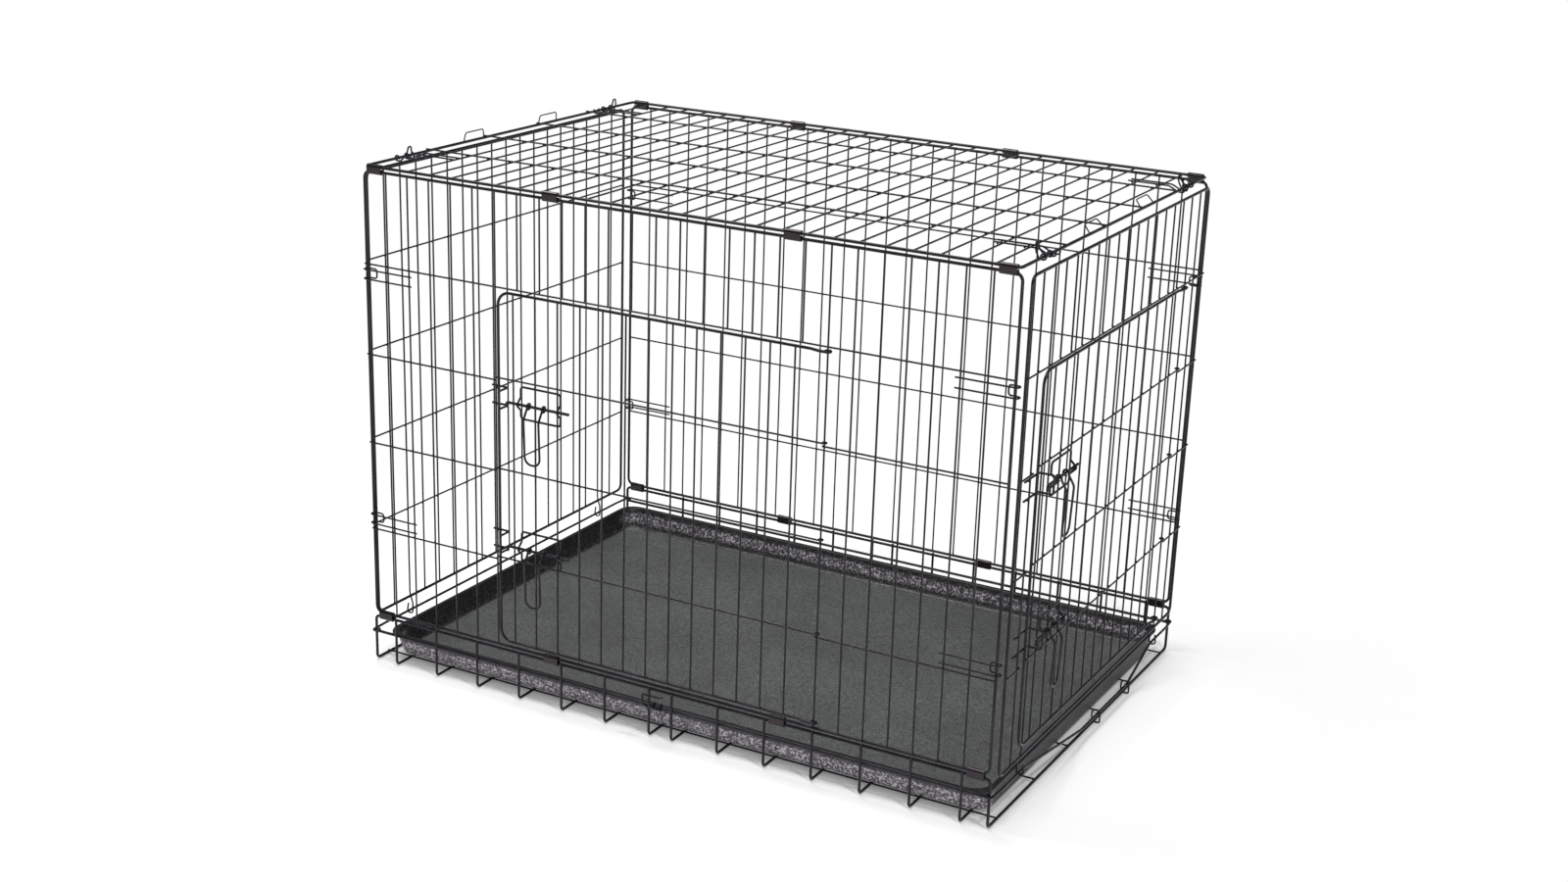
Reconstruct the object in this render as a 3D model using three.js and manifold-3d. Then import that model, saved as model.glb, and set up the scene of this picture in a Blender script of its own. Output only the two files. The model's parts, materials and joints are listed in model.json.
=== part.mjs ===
// A folding wire cage for a pet, with a lift-out tray, a door in the front and a door in the right end.
// Millimetres, +Z up. The front is -Y and the right end is +X. The origin is on the floor under the middle.
// Every flat panel is built in its own frame: X runs along it, Z is up, Y points into the cage.

import * as THREE from "three";
import { mergeGeometries, mergeVertices } from "three/addons/utils/BufferGeometryUtils.js";
import Module from "manifold-3d";

const wasm = await Module();
wasm.setup();

// Wires and clearances
const frameWire = 4.5;
const meshWire = 3.2;
const footWire = 4;
const lowWire = 4;
const smallWire = 2.8;
const rodWire = 4.4;
const running = 0.3;
const sunk = 0.4;

// The two long sides
const sideLength = 1040;
const sideSpread = 716;
const railStep = 7;
const baseTopRail = 75;
const sideBottom = baseTopRail + railStep;
const sideHeight = 694;
const sideTop = sideBottom + sideHeight;
const sideColumns = 27;
const panelRows = 5;
const cornerRound = 8.5;

// The two ends, which stand just outside the long sides
const endClear = 8;
const endInset = 14;
const endDrop = 8;
const endTopDrop = 5;
const endSpread = sideLength + 2 * endClear;
const endWidth = sideSpread - 2 * endInset;
const endBottom = sideBottom - endDrop;
const endTop = sideTop - endTopDrop;
const endColumns = 18;
const pivotDrop = 24.5;
const endPivot = baseTopRail - pivotDrop;
const endEyeColumn = 2;

// The roof
const roofInset = 3;
const roofLevel = sideTop + railStep;
const roofLength = sideLength - 2 * roofInset;
const tieLevels = [257, 243];
const loopWidth = 51;
const loopHeight = 15;
const loopMiddle = 99;

// The base
const baseOverhang = 2;
const baseLength = sideLength + 2 * baseOverhang;
const lowRailDrop = 26;
const baseLowRail = baseTopRail - lowRailDrop;
const footOffset = 2;
const footBend = 8;
const footMiddle = 14;
const floorWireShares = [0.461, 0.2715, 0.096];
const sagLevel = 17;
const sagShares = [-0.356, -0.042, 0.2235, 0.356];
const tieRingShares = [0.0517, 0.2249];

// The tray
const trayEndClear = 8;
const traySideClear = 9;
const trayRimDrop = 3;
const trayLength = baseLength - 2 * trayEndClear;
const trayWidth = sideSpread - 2 * traySideClear;
const trayRim = baseLowRail - trayRimDrop;
const trayWall = 3;
const trayLip = 5;
const trayLipDrop = 5;
const trayFlareLength = 3;
const trayFlareWidth = 13;
const trayRound = 45;

// The doors, each hung by eyes on a wire of its panel
const doorTopDrop = 7.2;
const doorLift = 8.2;
const doorTop = sideBottom + ((panelRows - 1) / panelRows) * sideHeight - doorTopDrop;
const doorBottom = sideBottom + doorLift;
const doorRise = 4.1;
const doorColumns = 13;
const doorRound = 22;
const frontDoor = { first: 6, last: 20, gap: 4.9, edgeGap: 25.9, hang: 48.9 };
const endDoor = { first: 1, last: 16, gap: 24.8, edgeGap: 39.2, hang: 39.2 };
const eyeWall = 2;

// The sliding bolts, their brackets and keepers
const upperBolt = 470;
const lowerBolt = 247.5;
const boltOut = 8;
const boltClear = 1.9;
const boltLength = 110;
const boltTip = 6;
const bracketInset = 41;
const bracketWidth = 69;
const bracketRise = 27;
const bracketDrop = 24;
const notchDepth = 10.5;
const notchHeight = 10;
const keeperInset = 14;
const keeperOut = 20;
const keeperRise = 18;
const keeperDrop = 9;
const handleInset = 71;
const handleWidth = 26;
const handleFoot = 25;
const handleLength = 85;
const handleLean = 3;

// Hooks
const cornerHookReach = 83;
const cornerHookUpper = [628, 613.7];
const cornerHookLower = [242.8, 228.5];
const cornerHookTurn = 10.1;
const cornerHookTail = 12;
const roofHookWidth = 22;
const roofHookReach = 14.5;
const roofHookDrop = 17.5;
const roofHookPlaces = [-275, 275];
const carryHookPlace = -6.6;
const carryHookWidth = 11.2;
const carryHookRise = 35.6;
const carryHookTop = 46;
const carryHookIn = 9;
const carryHookOut = 5;
const carryHookFinger = 22;
const carryHookLean = 55;

// The clips that hinge the roof, the long sides and the base together
const clipLength = 25;
const clipWall = 1;
const clipGaps = [0, 8, 18, 26];

const quarterTurn = Math.PI / 2;
const cornerSteps = 3;
const ringSides = 6;
const degree = Math.PI / 180;
const sidePlane = sideSpread / 2;
const endPlane = endSpread / 2;
const floorLevel = footWire + meshWire / 2 - sunk;
const clipBore = Math.hypot(frameWire, meshWire) / 2 + running;

const wireBlack = new THREE.MeshStandardMaterial({ color: 0x17151a, roughness: 0.25, metalness: 0.3 });
const clipBlack = new THREE.MeshStandardMaterial({ color: 0x1d1b20, roughness: 0.3, metalness: 0.6 });
const trayGrey = new THREE.MeshStandardMaterial({ color: 0x4a474c, roughness: 0.85, metalness: 0 });

// Turns a closed geometry into a solid that can be joined.
function solid(geometry) {
  const bare = geometry.index ? geometry.toNonIndexed() : geometry.clone();
  bare.deleteAttribute("normal");
  bare.deleteAttribute("uv");
  const merged = mergeVertices(bare);
  const mesh = new wasm.Mesh({
    numProp: merged.attributes.position.itemSize,
    vertProperties: new Float32Array(merged.attributes.position.array),
    triVerts: new Uint32Array(merged.index.array),
  });
  return new wasm.Manifold(mesh);
}

// The geometry of a solid.
function surface(whole) {
  const mesh = whole.getMesh();
  const geometry = new THREE.BufferGeometry();
  const position = new THREE.BufferAttribute(new Float32Array(mesh.vertProperties), mesh.numProp);
  geometry.setAttribute("position", position);
  geometry.setIndex(new THREE.BufferAttribute(new Uint32Array(mesh.triVerts), 1));
  geometry.computeVertexNormals();
  return geometry;
}

// Joins geometries that sink into each other into one closed geometry.
function join(pieces) {
  return surface(pieces.map(solid).reduce((a, b) => a.add(b)));
}

// Cuts geometries that stand clear of each other out of a block.
function cutOut(block, holes) {
  return surface(solid(block).subtract(solid(mergeGeometries(holes))));
}

// Extrusions of a shape, centred on the plane that they are drawn in.
function slab(shape, thickness) {
  const geometry = new THREE.ExtrudeGeometry(shape, {
    depth: thickness,
    bevelEnabled: false,
    curveSegments: cornerSteps,
  });
  return geometry.translate(0, 0, -thickness / 2);
}

const axisX = new THREE.Vector3(1, 0, 0);
const axisY = new THREE.Vector3(0, 1, 0);
const axisZ = new THREE.Vector3(0, 0, 1);
const standing = new THREE.Matrix4().makeBasis(axisX, axisZ, axisY.clone().negate());
const crossing = new THREE.Matrix4().makeBasis(axisY, axisZ, axisX);

function slabXZ(shape, thickness, y = 0) {
  return slab(shape, thickness).applyMatrix4(standing).translate(0, y, 0);
}

function slabYZ(shape, thickness, x = 0) {
  return slab(shape, thickness).applyMatrix4(crossing).translate(x, 0, 0);
}

function slabXY(shape, thickness, z = 0) {
  return slab(shape, thickness).translate(0, 0, z);
}

function box(from, to) {
  const size = to.map((v, i) => Math.abs(v - from[i]));
  const middle = to.map((v, i) => (v + from[i]) / 2);
  return new THREE.BoxGeometry(...size).translate(...middle);
}

// A straight wire of square section along one axis (0, 1 or 2) through a point.
function bar(axis, from, to, place, wide, deep = wide) {
  const others = [0, 1, 2].filter((i) => i !== axis);
  const low = [];
  const high = [];
  low[axis] = from;
  high[axis] = to;
  others.forEach((i, n) => {
    const half = (n ? deep : wide) / 2;
    low[i] = place[n] - half;
    high[i] = place[n] + half;
  });
  return box(low, high);
}

// The outline of a wire that follows points in a plane.
function ribbon(points, wire) {
  const p = points.map(([x, y]) => new THREE.Vector2(x, y));
  const side = p.map((point, i) => {
    const before = i ? point.clone().sub(p[i - 1]).normalize() : null;
    const after = i < p.length - 1 ? p[i + 1].clone().sub(point).normalize() : null;
    const along = (before ?? after).clone().add(after ?? before).normalize();
    const stretch = 1 / along.dot(after ?? before);
    return new THREE.Vector2(-along.y, along.x).multiplyScalar((stretch * wire) / 2);
  });
  const there = p.map((point, i) => point.clone().sub(side[i]));
  const back = p.map((point, i) => point.clone().add(side[i])).reverse();
  return new THREE.Shape([...there, ...back]);
}

// Points of an arc about a centre, from one angle to another.
function arc(centre, radius, from, to, steps) {
  return Array.from({ length: steps + 1 }, (_, i) => {
    const a = from + ((to - from) * i) / steps;
    return [centre[0] + radius * Math.cos(a), centre[1] + radius * Math.sin(a)];
  });
}

function rectangle(left, bottom, right, top, radii = [0, 0, 0, 0]) {
  const shape = new THREE.Shape();
  const corners = [
    [left, bottom, 2],
    [right, bottom, 3],
    [right, top, 0],
    [left, top, 1],
  ];
  const points = corners.flatMap(([x, y, quarter], i) => {
    const r = radii[i];
    const centre = [x + (i === 0 || i === 3 ? r : -r), y + (i < 2 ? r : -r)];
    return r ? arc(centre, r, quarter * quarterTurn, (quarter + 1) * quarterTurn, cornerSteps) : [[x, y]];
  });
  shape.setFromPoints(points.map(([x, y]) => new THREE.Vector2(x, y)));
  return shape;
}

// A ring with flat sides about a bore of the given radius.
function ringShape(centre, bore, wall, sides = ringSides) {
  const spread = 1 / Math.cos(Math.PI / sides);
  const circle = (radius) =>
    arc(centre, radius * spread, Math.PI / sides, Math.PI / sides + 2 * Math.PI, sides)
      .slice(0, sides)
      .map(([x, y]) => new THREE.Vector2(x, y));
  const shape = new THREE.Shape(circle(bore + wall));
  shape.holes.push(new THREE.Path(circle(bore).reverse()));
  return shape;
}

// A wire mesh that stands on X. Columns and rows are {at, wire}, and an opening leaves out what lies within it.
function meshPanel(columns, rows, radii, opening) {
  const low = (line) => line.at - line.wire / 2;
  const high = (line) => line.at + line.wire / 2;
  const ends = [high(columns.at(-1)), high(rows.at(-1))];
  const outline = rectangle(low(columns[0]), low(rows[0]), ...ends, radii);
  const hole = (i, j, m, n) => {
    const round = radii.map((r, k) => {
      const atColumn = k === 0 || k === 3 ? i === 0 : m === columns.length - 1;
      const atRow = k < 2 ? j === 0 : n === rows.length - 1;
      return atColumn && atRow && r > frameWire ? r - frameWire : 0;
    });
    return slabXZ(rectangle(high(columns[i]), high(rows[j]), low(columns[m]), low(rows[n]), round), frameWire);
  };
  const o = opening;
  const holes = o ? [hole(o.left, o.bottom, o.right, o.top)] : [];
  for (let i = 0; i < columns.length - 1; i++) {
    for (let j = 0; j < rows.length - 1; j++) {
      const open = o && i >= o.left && i < o.right && j >= o.bottom && j < o.top;
      if (!open) holes.push(hole(i, j, i + 1, j + 1));
    }
  }
  return cutOut(slabXZ(outline, meshWire), holes);
}

// Evenly spread wires, the outer two thicker.
function spread(from, to, gaps) {
  return Array.from({ length: gaps + 1 }, (_, i) => ({
    at: from + ((to - from) * i) / gaps,
    wire: i === 0 || i === gaps ? frameWire : meshWire,
  }));
}

// The double wire hook at a corner: along the outside of its panel, round the last wire and back inside.
function cornerHook(post, levels) {
  const side = Math.sign(post);
  const outside = -(meshWire / 2 + smallWire / 2 + running / 2);
  const turn = cornerHookTurn / 2;
  const inside = outside + cornerHookTurn;
  const bend = arc([0, outside + turn], turn, -quarterTurn, quarterTurn, 3);
  const path = [[-cornerHookReach, outside], ...bend, [-cornerHookTail, inside]];
  const outline = ribbon(path.map(([x, y]) => [post + side * (x - sunk), y]), smallWire);
  const tail = [post - side * cornerHookTail, inside];
  return [
    ...levels.map((z) => slabXY(outline, smallWire, z)),
    bar(2, Math.min(...levels), Math.max(...levels), tail, smallWire + sunk, smallWire - sunk),
  ];
}

// The keeper of a bolt: a loop from a wire of the panel, past the edge of the door, then out through it.
function keeper(wireAt, door, boltLevel) {
  const inside = meshWire / 2 + running + smallWire / 2;
  const reach = wireAt + door.gap + keeperInset;
  const path = [[wireAt, meshWire / 4], [wireAt, inside], [reach, inside], [reach, -keeperOut]];
  const outline = ribbon(path, smallWire);
  const low = boltLevel - keeperDrop;
  const high = boltLevel + keeperRise;
  return [
    slabXY(outline, smallWire, low),
    slabXY(outline, smallWire, high),
    bar(2, low, high, [reach, -keeperOut + smallWire / 2], smallWire - sunk),
  ];
}

function keepers(columns, door) {
  return [upperBolt, lowerBolt].flatMap((z) => keeper(columns[door.first].at, door, z));
}

// The bracket that guides a bolt: a loop of wire on the door with a notch outwards on each upright.
function bracket(near, boltLevel) {
  const y = -(meshWire / 2 + smallWire / 2 - sunk / 2);
  const side = [
    [y, boltLevel - bracketDrop],
    [y, boltLevel - notchHeight],
    [y - notchDepth, boltLevel],
    [y, boltLevel + notchHeight],
    [y, boltLevel + bracketRise],
  ];
  const upright = ribbon(side, smallWire);
  const far = near + bracketWidth;
  const run = (z) => bar(0, near, far, [y, z], smallWire - sunk, smallWire);
  return [
    slabYZ(upright, smallWire, near),
    slabYZ(upright, smallWire, far),
    run(boltLevel - bracketDrop + smallWire / 2),
    run(boltLevel + bracketRise - smallWire / 2),
  ];
}

function boltGeometry() {
  const sides = 8;
  const radius = rodWire / 2;
  const shaft = new THREE.CylinderGeometry(radius, radius, boltLength, sides);
  shaft.rotateZ(quarterTurn).translate(boltLength / 2, 0, 0);
  const tip = new THREE.CylinderGeometry(radius - sunk / 2, radius - sunk / 2, boltTip, sides);
  tip.rotateX(quarterTurn).translate(radius, 0, -boltTip / 2);
  return join([shaft, tip]);
}

// The hairpin pull that hangs on a bolt and is lifted to free it.
function handleGeometry() {
  const bore = rodWire / 2 + running;
  const half = handleWidth / 2;
  const foot = handleFoot / 2;
  const outline = [
    [-half, -bore - eyeWall / 2],
    ...arc([0, -handleLength + foot], foot, Math.PI, 2 * Math.PI, 4),
    [half, -bore - eyeWall / 2],
  ];
  const legs = slabXZ(ribbon(outline, smallWire), smallWire - sunk);
  const eyes = [-half, half].map((x) => slabYZ(ringShape([0, 0], bore, eyeWall), smallWire, x));
  return join([legs, ...eyes]).rotateX(-handleLean * degree);
}

// The wires of a panel that stands, with or without a door's opening.
function panelWires(columns, rows, door) {
  const opening = door && { left: door.first, right: door.last, bottom: 0, top: panelRows - 1 };
  return meshPanel(columns, rows, [0, 0, cornerRound, cornerRound], opening);
}

const sideWires = spread(-sideLength / 2, sideLength / 2, sideColumns);
const sideRows = spread(sideBottom, sideTop, panelRows);
const endWires = spread(-endWidth / 2, endWidth / 2, endColumns);
const endRows = sideRows.map((row) => ({ ...row }));
endRows[0].at = endBottom;
endRows[panelRows].at = endTop;

function longSide(door) {
  const hooks = [-1, 1].flatMap((side) =>
    [cornerHookUpper, cornerHookLower].flatMap((levels) => cornerHook((side * sideLength) / 2, levels)));
  return join([
    panelWires(sideWires, sideRows, door),
    ...hooks,
    ...(door ? keepers(sideWires, door) : []),
  ]);
}

// An end has two wires that end in eyes round the low wire of the base.
function endPanel(door) {
  const bore = Math.hypot(lowWire, lowWire) / 2 + running;
  const legs = [endEyeColumn, endColumns - endEyeColumn].flatMap((i) => [
    slabYZ(ringShape([0, endPivot], bore, eyeWall), smallWire, endWires[i].at),
    bar(2, endPivot + bore + eyeWall / 2, endBottom, [endWires[i].at, 0], meshWire, meshWire - sunk),
  ]);
  return join([
    panelWires(endWires, endRows, door),
    ...legs,
    ...(door ? keepers(endWires, door) : []),
  ]);
}

// The place of a door's outer wire, and of the wire that it hangs on.
function doorPlaces(columns, door) {
  return { edge: columns[door.first].at + door.gap, hinge: columns[door.last].at };
}

function doorGeometry(columns, door) {
  const { edge, hinge } = doorPlaces(columns, door);
  const bore = Math.hypot(meshWire, meshWire) / 2 + running;
  const firstGap = door.edgeGap;
  const step = (hinge - door.hang - edge - firstGap) / (doorColumns - 1);
  const wires = Array.from({ length: doorColumns }, (_, i) => ({
    at: edge + firstGap + i * step,
    wire: meshWire,
  }));
  const levels = [
    { at: doorBottom, wire: frameWire },
    ...sideRows.slice(1, panelRows - 1).map((row) => ({ at: row.at + doorRise, wire: meshWire })),
    { at: doorTop, wire: frameWire },
  ];
  const last = wires.at(-1).at;
  const across = [{ at: edge, wire: frameWire }, ...wires];
  const arms = levels.flatMap(({ at, wire }) => [
    bar(0, last, hinge - bore - eyeWall / 2, [0, at], meshWire - sunk / 2, wire - sunk / 2),
    slabXY(ringShape([hinge, 0], bore, eyeWall), wire, at),
  ]);
  return join([
    meshPanel(across, levels, [doorRound, 0, 0, doorRound]),
    ...arms,
    ...[upperBolt, lowerBolt].flatMap((z) => bracket(edge + bracketInset, z)),
  ]);
}

// The roof, drawn as a panel that is turned down onto its back: Z runs across the cage.
function roofGeometry() {
  const columns = sideWires.map((wire) => ({ ...wire }));
  columns[0].at = -roofLength / 2;
  columns[sideColumns].at = roofLength / 2;
  const rows = spread(-sidePlane, sidePlane, panelRows);
  const ends = [-1, 1].flatMap((side) => {
    const post = (side * roofLength) / 2;
    const loops = [-1, 1].map((way) => {
      const half = loopWidth / 2;
      const rise = -(loopHeight + meshWire / 2);
      const path = [[0, -half], [rise, -half], [rise, half], [0, half]];
      return slab(ribbon(path, smallWire), smallWire)
        .applyMatrix4(crossing)
        .translate(post, 0, way * loopMiddle);
    });
    return [...cornerHook(post, tieLevels), ...cornerHook(post, tieLevels.map((z) => -z)), ...loops];
  });
  return join([meshPanel(columns, rows, [0, 0, 0, 0]), ...ends]);
}

// The base: rails along the sides, bent wires that go under the tray, wires along the floor and two ends.
function baseGeometry() {
  const half = baseLength / 2;
  const railEnd = half + frameWire / 2 + sunk;
  const footPlane = sidePlane + footOffset;
  const bend = (side) =>
    arc([side * (footPlane - footBend), footWire / 2 + footBend], footBend,
      side < 0 ? Math.PI : -quarterTurn, side < 0 ? Math.PI + quarterTurn : 0, 2);
  const foot = ribbon([
    [-footPlane, baseTopRail + frameWire / 2],
    ...bend(-1),
    ...bend(1),
    [footPlane, baseTopRail + frameWire / 2],
  ], footWire);
  const feet = sideWires.filter((_, i) => (i < footMiddle ? i % 2 === 1 : i % 2 === 0 && i < sideColumns));
  const rails = [-sidePlane, sidePlane].flatMap((y) => [
    bar(0, -railEnd, railEnd, [y, baseTopRail], meshWire, frameWire),
    bar(0, -railEnd, railEnd, [y, baseLowRail], meshWire, frameWire),
    ...[-half, half].map((x) =>
      bar(2, floorLevel - frameWire / 2, baseTopRail + sunk, [x, y], frameWire)),
  ]);
  const floor = floorWireShares.flatMap((share) =>
    [-share, share].map((s) => bar(0, -half, half, [s * sideSpread, floorLevel], meshWire)));
  return join([
    ...rails,
    ...feet.map((wire) => slabYZ(foot, footWire, wire.at)),
    ...floor,
    ...[-1, 1].flatMap((side) => baseEnd(side)),
  ]);
}

// An end of the base: a rail on the floor and the low wire that the end turns on, which sags at the right.
function baseEnd(side) {
  const floorRail = (side * baseLength) / 2;
  const x = side * endPlane;
  const sag = sagShares.map((share, i) => [share * sideSpread, i === 0 || i === 3 ? endPivot : sagLevel]);
  const path = [[-sidePlane, endPivot], ...(side > 0 ? sag : []), [sidePlane, endPivot]];
  const returns = [-sidePlane, sidePlane].map((y) => bar(0, x, floorRail, [y, endPivot], lowWire - sunk));
  const grip = frameWire / 2 - sunk;
  const ties = side > 0 ? tieRingShares.map((share) => {
    const y = share * sideSpread;
    const low = [floorRail - grip, floorLevel - grip];
    const high = [x + grip, sagLevel + grip];
    const ring = rectangle(low[0] - smallWire, low[1] - smallWire, high[0] + smallWire, high[1] + smallWire);
    ring.holes.push(new THREE.Path(rectangle(...low, ...high).getPoints().reverse()));
    return slabXZ(ring, smallWire, y);
  }) : [];
  return [
    bar(1, -sidePlane, sidePlane, [floorRail, floorLevel], frameWire - sunk),
    slabYZ(ribbon(path, lowWire), lowWire, x),
    ...returns,
    ...ties,
  ];
}

// The tray: a flared tub with a lip, as rings of points joined from the outer foot over the lip to the floor.
function trayGeometry() {
  const foot = floorLevel + meshWire / 2 + running;
  const wallLength = trayLength / 2 - trayLip;
  const wallWidth = trayWidth / 2 - trayLip;
  const rings = [
    [wallLength - trayFlareLength, wallWidth - trayFlareWidth, foot],
    [wallLength, wallWidth, trayRim - trayLipDrop],
    [trayLength / 2, trayWidth / 2, trayRim - trayLipDrop],
    [trayLength / 2, trayWidth / 2, trayRim],
    [wallLength - trayWall, wallWidth - trayWall, trayRim],
    [wallLength - trayFlareLength - trayWall, wallWidth - trayFlareWidth - trayWall, foot + trayWall],
  ].map(([x, y, z]) => {
    const radius = trayRound + y - trayWidth / 2;
    const outline = rectangle(-x, -y, x, y, [radius, radius, radius, radius]).getPoints();
    return outline.slice(0, -1).map((p) => [p.x, p.y, z]);
  });
  const count = rings[0].length;
  const triangles = [];
  rings.slice(1).forEach((ring, r) => {
    ring.forEach((_, i) => {
      const next = (i + 1) % count;
      const low = r * count;
      const high = low + count;
      triangles.push(low + i, low + next, high + next, low + i, high + next, high + i);
    });
  });
  const cap = (ring) => THREE.ShapeUtils.triangulateShape(ring.map(([x, y]) => new THREE.Vector2(x, y)), []);
  cap(rings[0]).forEach(([a, b, c]) => triangles.push(a, c, b));
  const top = (rings.length - 1) * count;
  cap(rings.at(-1)).forEach(([a, b, c]) => triangles.push(top + a, top + b, top + c));
  const geometry = new THREE.BufferGeometry();
  geometry.setAttribute("position", new THREE.Float32BufferAttribute(rings.flat(2), 3));
  geometry.setIndex(triangles);
  geometry.computeVertexNormals();
  return geometry;
}

// A clip: a strap bent round two rails that lie one above the other.
function clipGeometry(low, high) {
  const steps = 4;
  const spreadOut = 1 / Math.cos(quarterTurn / steps);
  const stadium = (radius) => [
    ...arc([0, high], radius * spreadOut, 0, Math.PI, steps),
    ...arc([0, low], radius * spreadOut, Math.PI, 2 * Math.PI, steps),
  ].map(([y, z]) => new THREE.Vector2(y, z));
  const shape = new THREE.Shape(stadium(clipBore + clipWall));
  shape.holes.push(new THREE.Path(stadium(clipBore).reverse()));
  return slabYZ(shape, clipLength);
}

// A hook of the roof: two eyes on its end rail and a loop that drops over the end.
function roofHookGeometry() {
  const bore = Math.hypot(frameWire, meshWire) / 2 + running;
  const arm = ribbon([
    [bore + eyeWall / 2, 0],
    [roofHookReach, 0],
    [roofHookReach, -roofHookDrop],
  ], smallWire);
  const half = roofHookWidth / 2;
  const arms = [-half, half].flatMap((y) => [
    slabXZ(arm, smallWire, y),
    slabXZ(ringShape([0, 0], bore, eyeWall), smallWire, y),
  ]);
  const foot = [roofHookReach, -roofHookDrop + smallWire / 2];
  return join([...arms, bar(1, -half, half, foot, smallWire - sunk, smallWire)]);
}

// The carrying hook: two eyes on the second rail and a loop that reaches over the rails, with a long finger.
function carryHookGeometry() {
  const bore = Math.hypot(frameWire, meshWire) / 2 + running;
  const arm = ribbon([
    [-bore - smallWire / 2, 0],
    [-carryHookOut, carryHookRise],
    [carryHookIn, carryHookTop],
  ], smallWire);
  const half = carryHookWidth / 2;
  const arms = [-half, half].flatMap((x) => [
    slabYZ(arm, smallWire, x),
    slabYZ(ringShape([0, 0], bore, eyeWall), smallWire, x),
  ]);
  const top = [carryHookIn - smallWire / 2, carryHookTop - smallWire / 2];
  return join([...arms, bar(0, -half, carryHookFinger - carryHookPlace, top, smallWire - sunk)]);
}

const cage = new THREE.Group();

function add(parent, name, geometry, material, place = [0, 0, 0]) {
  const mesh = new THREE.Mesh(geometry, material);
  mesh.name = name;
  mesh.position.set(...place);
  parent.add(mesh);
  return mesh;
}

// A group for each standing panel, turned so that its Y points into the cage.
function face(turn, x, y) {
  const group = new THREE.Group();
  group.rotation.z = turn;
  group.position.set(x, y, 0);
  cage.add(group);
  return group;
}
const front = face(0, 0, -sidePlane);
const back = face(Math.PI, 0, sidePlane);
const rightEnd = face(quarterTurn, endPlane, 0);
const leftEnd = face(-quarterTurn, -endPlane, 0);

add(cage, "base_grid", baseGeometry(), wireBlack);
add(cage, "tray", trayGeometry(), trayGrey);
add(front, "front_panel", longSide(frontDoor), wireBlack);
add(back, "back_panel", longSide(null), wireBlack);
add(rightEnd, "right_end_panel", endPanel(endDoor), wireBlack);
add(leftEnd, "left_end_panel", endPanel(null), wireBlack);
add(cage, "roof_panel", roofGeometry(), wireBlack, [0, 0, roofLevel]).rotation.x = -quarterTurn;

// The doors, each with two bolts and the pulls that hang on them
[["front", front, sideWires, frontDoor], ["end", rightEnd, endWires, endDoor]].forEach(
  ([name, group, columns, door]) => {
    const { edge } = doorPlaces(columns, door);
    add(group, name + "_door", doorGeometry(columns, door), wireBlack);
    const tip = edge + keeperInset + smallWire / 2 + boltClear;
    [["upper", upperBolt], ["lower", lowerBolt]].forEach(([row, level]) => {
      add(group, name + "_" + row + "_bolt", boltGeometry(), wireBlack, [tip, -boltOut, level]);
      const place = [edge + handleInset, -boltOut, level];
      add(group, name + "_" + row + "_pull", handleGeometry(), wireBlack, place);
    });
  });

// The clips along the four long edges
[["front", -sidePlane], ["back", sidePlane]].forEach(([side, y]) => {
  clipGaps.forEach((gap, i) => {
    const x = (sideWires[gap].at + sideWires[gap + 1].at) / 2;
    const number = side + "_" + (i + 1);
    add(cage, "base_clip_" + number, clipGeometry(baseTopRail, sideBottom), clipBlack, [x, y, 0]);
    add(cage, "roof_clip_" + number, clipGeometry(sideTop, roofLevel), clipBlack, [x, y, 0]);
  });
});

// The roof's hooks lie turned in over the roof, clear of the ends.
[["right", 1], ["left", -1]].forEach(([end, side]) => {
  roofHookPlaces.forEach((y, i) => {
    const place = [(side * roofLength) / 2, y, roofLevel];
    const hook = add(cage, "roof_hook_" + end + "_" + (i + 1), roofHookGeometry(), wireBlack, place);
    if (side > 0) hook.rotation.y = Math.PI;
    else hook.rotation.x = Math.PI;
  });
});

const carryPlace = [carryHookPlace, -sidePlane, baseLowRail];
add(cage, "carry_hook", carryHookGeometry(), wireBlack, carryPlace).rotation.x = carryHookLean * degree;

export default cage;
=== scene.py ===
"""Looks of a folding wire pet cage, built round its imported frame.

Metres, +Z up, the front is -Y and the end with a door is +X. Each flat panel is bent up in its own
frame first (X along it, Z up, -Y outside) and then stood in its place.
"""

import json
import math

import bmesh
import bpy
from mathutils import Matrix, Vector


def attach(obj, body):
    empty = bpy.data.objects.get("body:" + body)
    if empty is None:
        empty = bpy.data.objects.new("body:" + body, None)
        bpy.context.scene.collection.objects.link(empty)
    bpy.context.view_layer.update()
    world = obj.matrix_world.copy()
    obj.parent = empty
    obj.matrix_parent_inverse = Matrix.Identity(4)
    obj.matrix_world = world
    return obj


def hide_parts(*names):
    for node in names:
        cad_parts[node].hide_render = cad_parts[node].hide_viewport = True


bl_info = {
    "name": "Folding Wire Pet Cage",
    "version": (1, 0, 0),
    "blender": (4, 5, 0),
    "location": "View3D > Sidebar > Pet Cage",
    "description": "Builds the wires, straps and tray of a folding pet cage",
    "category": "Add Mesh",
}

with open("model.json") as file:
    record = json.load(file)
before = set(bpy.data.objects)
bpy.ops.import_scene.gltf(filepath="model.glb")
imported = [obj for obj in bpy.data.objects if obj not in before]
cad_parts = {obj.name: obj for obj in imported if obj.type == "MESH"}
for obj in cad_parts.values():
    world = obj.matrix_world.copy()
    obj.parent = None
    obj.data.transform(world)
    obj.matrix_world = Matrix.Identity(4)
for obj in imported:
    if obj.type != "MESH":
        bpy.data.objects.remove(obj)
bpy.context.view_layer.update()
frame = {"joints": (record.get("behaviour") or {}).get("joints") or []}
PIVOTS = {joint["name"]: Vector(joint["pos_m"]) for joint in frame["joints"] if "pos_m" in joint}

X = Vector((1, 0, 0))
Y = Vector((0, 1, 0))
Z = Vector((0, 0, 1))

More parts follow.
